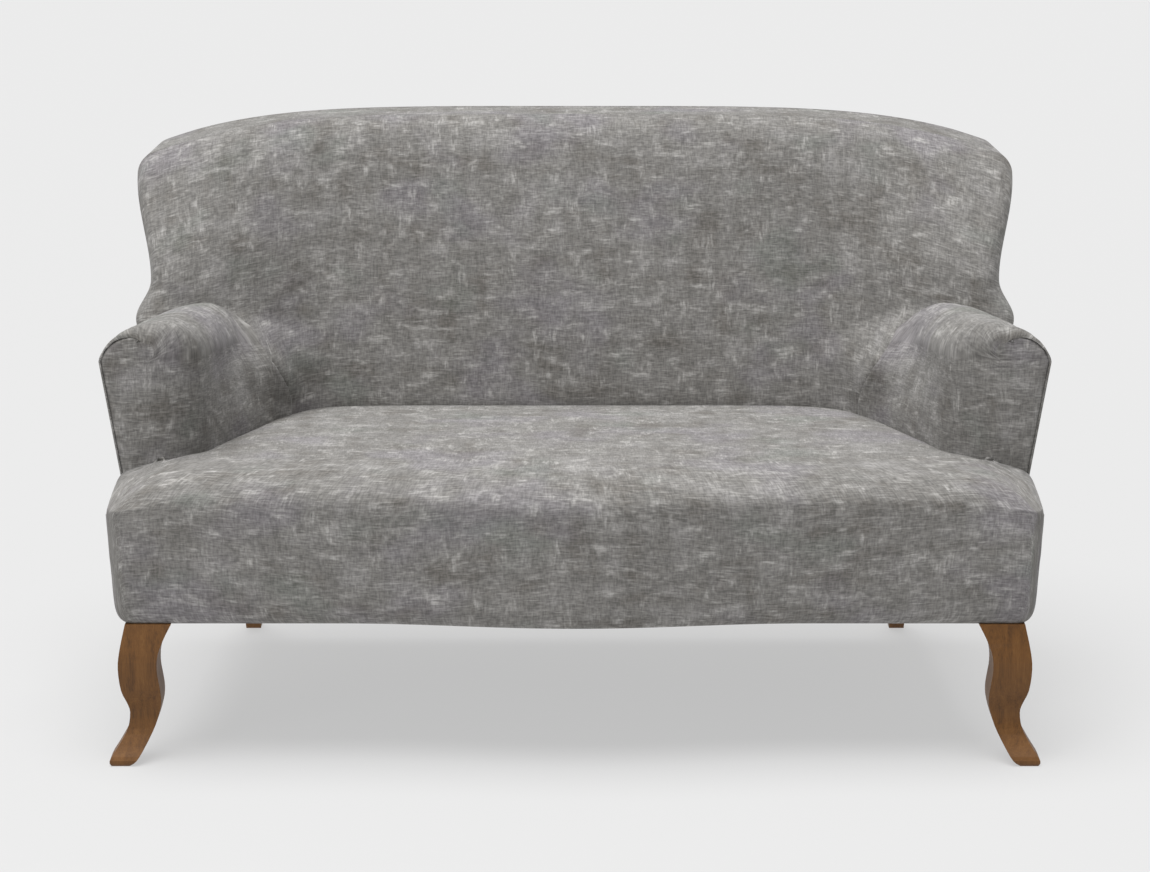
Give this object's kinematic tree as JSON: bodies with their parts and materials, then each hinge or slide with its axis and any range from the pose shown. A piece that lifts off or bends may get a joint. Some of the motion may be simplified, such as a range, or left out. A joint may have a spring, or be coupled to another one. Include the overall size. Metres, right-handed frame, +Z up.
{
  "type": "cabriole sofa",
  "caption": "Small upholstered sofa with a tight bowed seat, rolled arms that run into a winged, arched back, and wooden cabriole front legs.",
  "frame": {"origin": "on the floor, in the middle of the sofa's footprint", "axes": "+X to the right as seen from the front, +Y towards the back, +Z up; millimetres in the source, metres here"},
  "size_m": [1.5196, 0.83, 0.933],
  "materials": {
    "linen_cover": "slubby warm grey linen weave",
    "black_base_cloth": "black non-woven dust cloth",
    "foam": "foam with a layer of wadding",
    "hessian": "plain jute hessian",
    "jute_webbing": "woven jute webbing",
    "spring_wire": "drawn spring wire",
    "zinc_steel": "zinc plated",
    "frame_beech": "plain sawn beech",
    "stained_beech_leg": "mid brown stain with a satin varnish"
  },
  "bodies": {
    "root": {"seat_cover": "linen_cover", "seat_side_panel_left": "linen_cover", "seat_side_panel_right": "linen_cover", "back_cover": "linen_cover", "back_border": "linen_cover", "outside_back": "linen_cover", "arm_cover_left": "linen_cover", "arm_cover_right": "linen_cover", "arm_facing_left": "linen_cover", "arm_facing_right": "linen_cover", "outside_arm_left": "linen_cover", "outside_arm_right": "linen_cover", "base_cloth": "black_base_cloth", "seat_foam": "foam", "front_padding": "foam", "back_foam": "foam", "arm_foam_left": "foam", "arm_foam_right": "foam", "seat_hessian": "hessian", "back_hessian": "hessian", "back_webbing": "jute_webbing", "arm_hessian_left": "hessian", "arm_hessian_right": "hessian", "seat_springs": "spring_wire", "spring_clips": "zinc_steel", "spring_tie_wires": "spring_wire", "front_rail": "frame_beech", "back_rail": "frame_beech", "side_rail_left": "frame_beech", "side_rail_right": "frame_beech", "centre_stretcher": "frame_beech", "corner_blocks": "frame_beech", "back_post_left": "frame_beech", "back_post_right": "frame_beech", "top_rail": "frame_beech", "back_tack_rail": "frame_beech", "back_slats": "frame_beech", "arm_board_left": "frame_beech", "arm_board_right": "frame_beech", "arm_top_rail_left": "frame_beech", "arm_top_rail_right": "frame_beech", "arm_tack_rail_left": "frame_beech", "arm_tack_rail_right": "frame_beech", "frame_dowels": "frame_beech", "front_leg_left": "stained_beech_leg", "front_leg_right": "stained_beech_leg", "rear_leg_left": "stained_beech_leg", "rear_leg_right": "stained_beech_leg", "leg_bolts": "zinc_steel", "leg_inserts": "zinc_steel"}
  },
  "joints": []
}
